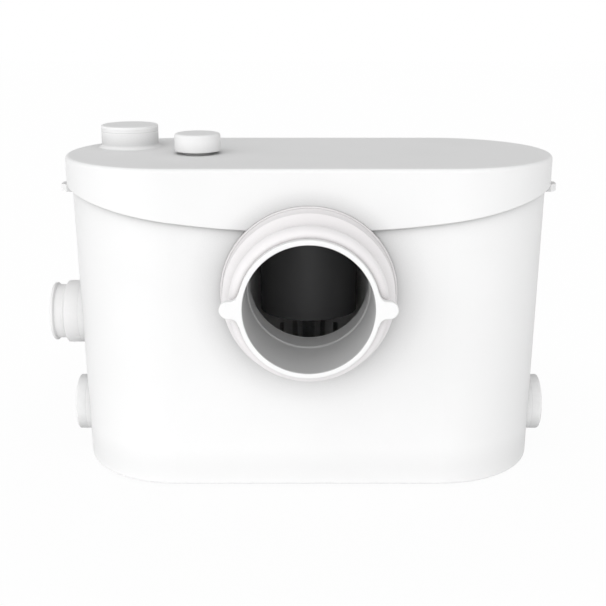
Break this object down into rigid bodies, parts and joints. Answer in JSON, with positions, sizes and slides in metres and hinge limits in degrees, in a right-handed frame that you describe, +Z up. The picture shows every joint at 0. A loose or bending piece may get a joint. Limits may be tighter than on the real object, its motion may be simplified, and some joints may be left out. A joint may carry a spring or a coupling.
{
  "type": "macerator toilet pump",
  "caption": "White oval macerator tank with lift-off lid, ribbed closet inlet boot, side inlets with flap valves, capped outlet, air vent, and an upright motor turning a cutter and a pump",
  "frame": {"origin": "on the ground under the middle of the oval tank, on the underside of its middle foot pad", "axes": "+X along the tank towards its plain end, -X to the end with the upper inlet, -Y the way the closet inlet faces, +Z up"},
  "size_m": [0.4359, 0.2479, 0.2891],
  "materials": {
    "white_plastic": "smooth moulded white plastic with a soft gloss",
    "white_rubber": "off-white soft rubber, satin",
    "black_rubber": "black rubber, matte",
    "dark_plastic": "dark moulded plastic, matte",
    "inner_plastic": "pale moulded plastic, matte",
    "steel": "stainless steel, lightly brushed",
    "copper_wire": "varnished copper wire",
    "carbon_foam": "open carbon foam"
  },
  "bodies": {
    "tank_body": {"tank": "white_plastic", "tank_feet": "black_rubber", "wc_inlet_boot": "white_rubber", "wc_inlet_spigot": "white_plastic", "upper_inlet_sleeve": "white_rubber", "upper_flap_pin": "steel", "left_flap_pin": "steel", "right_flap_pin": "steel", "inlet_hood": "dark_plastic", "hood_front": "dark_plastic", "macerator_basket": "dark_plastic", "pump_volute": "dark_plastic", "volute_cover": "dark_plastic", "volute_screws": "steel", "motor_pot": "dark_plastic", "motor_end_cap": "dark_plastic", "motor_stator": "steel", "stator_windings": "copper_wire", "upper_bearing": "steel", "lower_bearing": "steel", "shaft_seal": "black_rubber", "motor_screws": "steel", "deck_plate": "dark_plastic", "deck_seal": "black_rubber", "deck_screws": "steel", "discharge_coupling": "black_rubber", "discharge_pipe": "inner_plastic", "check_valve_body": "inner_plastic", "outlet_seal": "black_rubber", "pressure_bell": "inner_plastic", "switch_housing": "dark_plastic", "switch_diaphragm": "black_rubber", "microswitch": "dark_plastic", "capacitor": "inner_plastic", "capacitor_clip": "steel", "terminal_block": "inner_plastic", "cable_gland": "dark_plastic", "gland_locknut": "dark_plastic"},
    "lid_body": {"lid": "white_plastic", "lid_seal": "black_rubber", "vent_filter": "carbon_foam"},
    "rotor_body": {"motor_rotor": "steel", "motor_shaft": "steel", "macerator_blade": "steel", "blade_nut": "steel", "pump_impeller": "inner_plastic", "impeller_nut": "steel"},
    "vent_cap_body": {"vent_cap": "white_plastic"},
    "outlet_cap_body": {"outlet_cap": "white_plastic"},
    "upper_flap_body": {"upper_inlet_flap": "black_rubber"},
    "left_flap_body": {"left_inlet_flap": "black_rubber"},
    "right_flap_body": {"right_inlet_flap": "black_rubber"},
    "left_cap_body": {"left_inlet_cap": "white_plastic"},
    "right_cap_body": {"right_inlet_cap": "white_plastic"},
    "ball_body": {"check_valve_ball": "black_rubber"},
    "plunger_body": {"switch_plunger": "inner_plastic"},
    "lever_body": {"microswitch_lever": "steel"}
  },
  "joints": [
    {"name": "lid_lift", "type": "slide", "parent": "tank_body", "child": "lid_body", "axis": [0, 0, 1], "range_m": [0, 0.08]},
    {"name": "shaft_spin", "type": "hinge", "parent": "tank_body", "child": "rotor_body", "pos_m": [0, 0.02, 0.12], "axis": [0, 0, 1], "continuous": true},
    {"name": "vent_cap_pull", "type": "slide", "parent": "lid_body", "child": "vent_cap_body", "axis": [0, 0, 1], "range_m": [0, 0.03]},
    {"name": "outlet_cap_pull", "type": "slide", "parent": "lid_body", "child": "outlet_cap_body", "axis": [0, 0, 1], "range_m": [0, 0.03]},
    {"name": "upper_flap_swing", "type": "hinge", "parent": "tank_body", "child": "upper_flap_body", "pos_m": [-0.18391, 0, 0.1539], "axis": [0, -1, 0], "range_deg": [0, 45], "stiffness_Nm_per_rad": 0.002, "springref_deg": -11.46},
    {"name": "left_flap_swing", "type": "hinge", "parent": "tank_body", "child": "left_flap_body", "pos_m": [-0.18275, 0, 0.0681], "axis": [0, -1, 0], "range_deg": [0, 45], "stiffness_Nm_per_rad": 0.002, "springref_deg": -11.46},
    {"name": "right_flap_swing", "type": "hinge", "parent": "tank_body", "child": "right_flap_body", "pos_m": [0.18275, 0, 0.0681], "axis": [0, 1, 0], "range_deg": [0, 45], "stiffness_Nm_per_rad": 0.002, "springref_deg": -11.46},
    {"name": "left_cap_pull", "type": "slide", "parent": "tank_body", "child": "left_cap_body", "axis": [-1, 0, 0], "range_m": [0, 0.03]},
    {"name": "right_cap_pull", "type": "slide", "parent": "tank_body", "child": "right_cap_body", "axis": [1, 0, 0], "range_m": [0, 0.03]},
    {"name": "valve_ball_lift", "type": "slide", "parent": "tank_body", "child": "ball_body", "axis": [0, 0, 1], "range_m": [0, 0.012]},
    {"name": "plunger_push", "type": "slide", "parent": "tank_body", "child": "plunger_body", "axis": [0, 0, 1], "range_m": [0, 0.002], "stiffness_N_per_m": 300, "springref_m": -0.002},
    {"name": "lever_tilt", "type": "hinge", "parent": "tank_body", "child": "lever_body", "pos_m": [-0.1188, -0.04, 0.254], "axis": [0, 1, 0], "range_deg": [0, 20.7]}
  ],
  "couplings": [
    {"joint": "lever_tilt", "follows": "plunger_push", "rad_per_m": 180}
  ]
}
